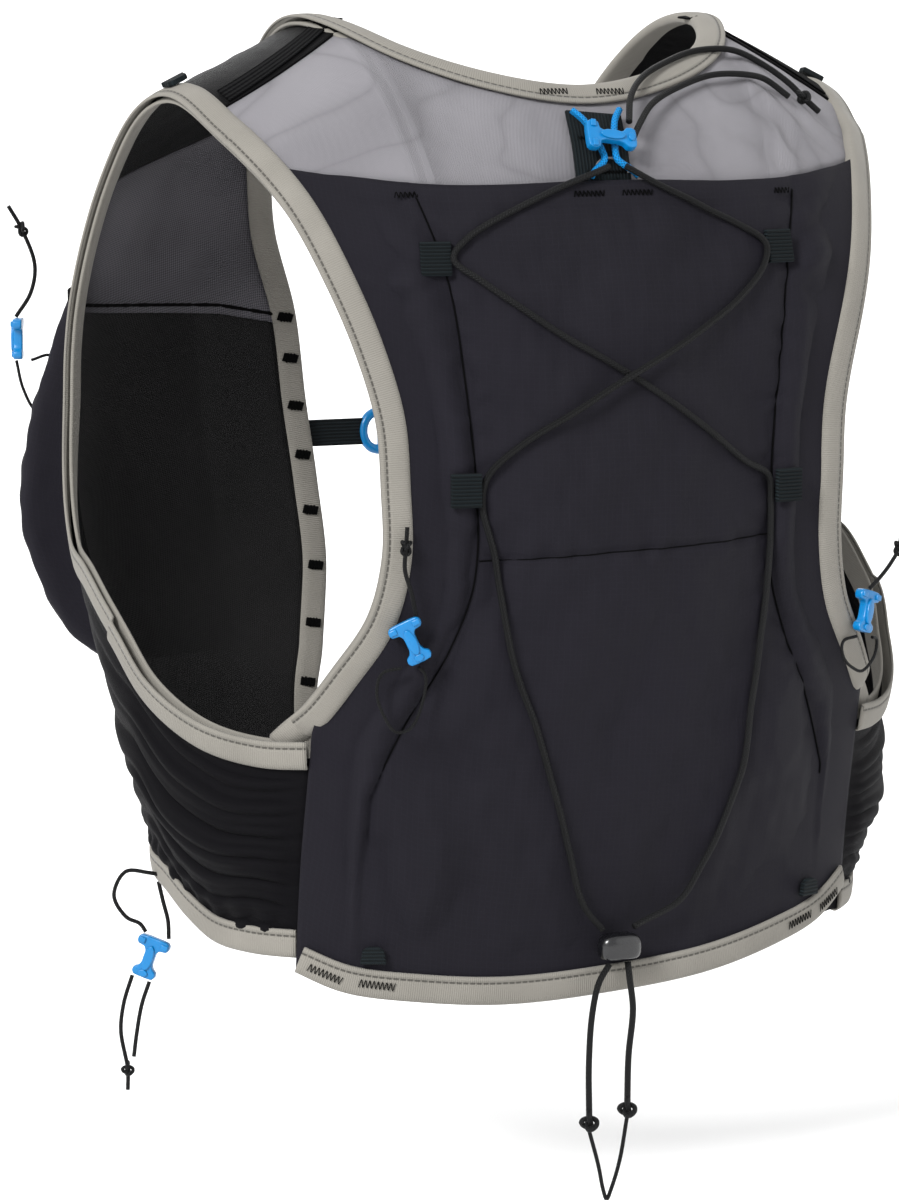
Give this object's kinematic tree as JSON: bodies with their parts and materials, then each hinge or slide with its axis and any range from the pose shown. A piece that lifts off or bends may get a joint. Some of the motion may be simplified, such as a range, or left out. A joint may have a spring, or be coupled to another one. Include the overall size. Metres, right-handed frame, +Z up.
{
  "type": "running hydration vest",
  "caption": "Close-fitting running vest with mesh yoke, laced back pocket, front bottle pockets, ruched side wings and bound edges.",
  "frame": {"origin": "midway between the shoulder straps, at the height where their undersides rest on the wearer's shoulders", "axes": "+Z up, -Y the way the wearer faces, +X towards the wearer's left"},
  "size_m": [0.3704, 0.2623, 0.4917],
  "materials": {
    "shell_fabric": "matt fine ripstop",
    "wing_fabric": "matt stretch woven",
    "mesh": "open knitted mesh",
    "dark_mesh": "black spacer mesh",
    "binding": "soft folded elastic tape",
    "webbing": "ribbed webbing",
    "cord": "braided elastic cord",
    "accent_cord": "braided cord",
    "accent_plastic": "moulded, satin gloss",
    "toggle_plastic": "moulded, glossy"
  },
  "bodies": {
    "root": {"yoke_mesh": "mesh", "back_panel": "dark_mesh", "back_pocket": "shell_fabric", "neck_binding": "binding", "back_hem_binding": "binding", "hanger_webbing": "webbing", "hanger_cord_left": "accent_cord", "hanger_cord_right": "accent_cord", "top_cord_hook": "accent_plastic", "lacing_cord_left": "cord", "lacing_cord_right": "cord", "cord_tab_upper_left": "webbing", "cord_tab_upper_right": "webbing", "cord_tab_lower_left": "webbing", "cord_tab_lower_right": "webbing", "top_tail_upper": "cord", "top_tail_lower": "cord", "bottom_cord_lock": "toggle_plastic", "bottom_tail_left": "cord", "bottom_tail_right": "cord", "pull_loop": "cord", "sternum_strap_left": "webbing", "sternum_strap_right": "webbing", "sternum_clip": "accent_plastic", "shoulder_panel_left": "wing_fabric", "front_mesh_left": "mesh", "front_panel_left": "dark_mesh", "front_pocket_left": "shell_fabric", "side_wing_left": "wing_fabric", "armhole_binding_left": "binding", "wing_hem_binding_left": "binding", "shoulder_loop_left": "webbing", "hem_loop_left": "webbing", "shoulder_panel_right": "wing_fabric", "front_mesh_right": "mesh", "front_panel_right": "dark_mesh", "front_pocket_right": "shell_fabric", "side_wing_right": "wing_fabric", "armhole_binding_right": "binding", "wing_hem_binding_right": "binding", "shoulder_loop_right": "webbing", "hem_loop_right": "webbing", "cord_hook_armhole_left": "accent_plastic", "tail_armhole_left": "cord", "loop_armhole_left": "cord", "cord_hook_armhole_right": "accent_plastic", "tail_armhole_right": "cord", "loop_armhole_right": "cord", "cord_hook_front_left": "accent_plastic", "tail_front_left": "cord", "loop_front_left": "cord", "tether_hem_left": "cord", "riser_hem_left": "cord", "tail_hem_left_front": "cord", "tail_hem_left_rear": "cord", "cord_hook_hem_left": "accent_plastic"}
  },
  "joints": []
}
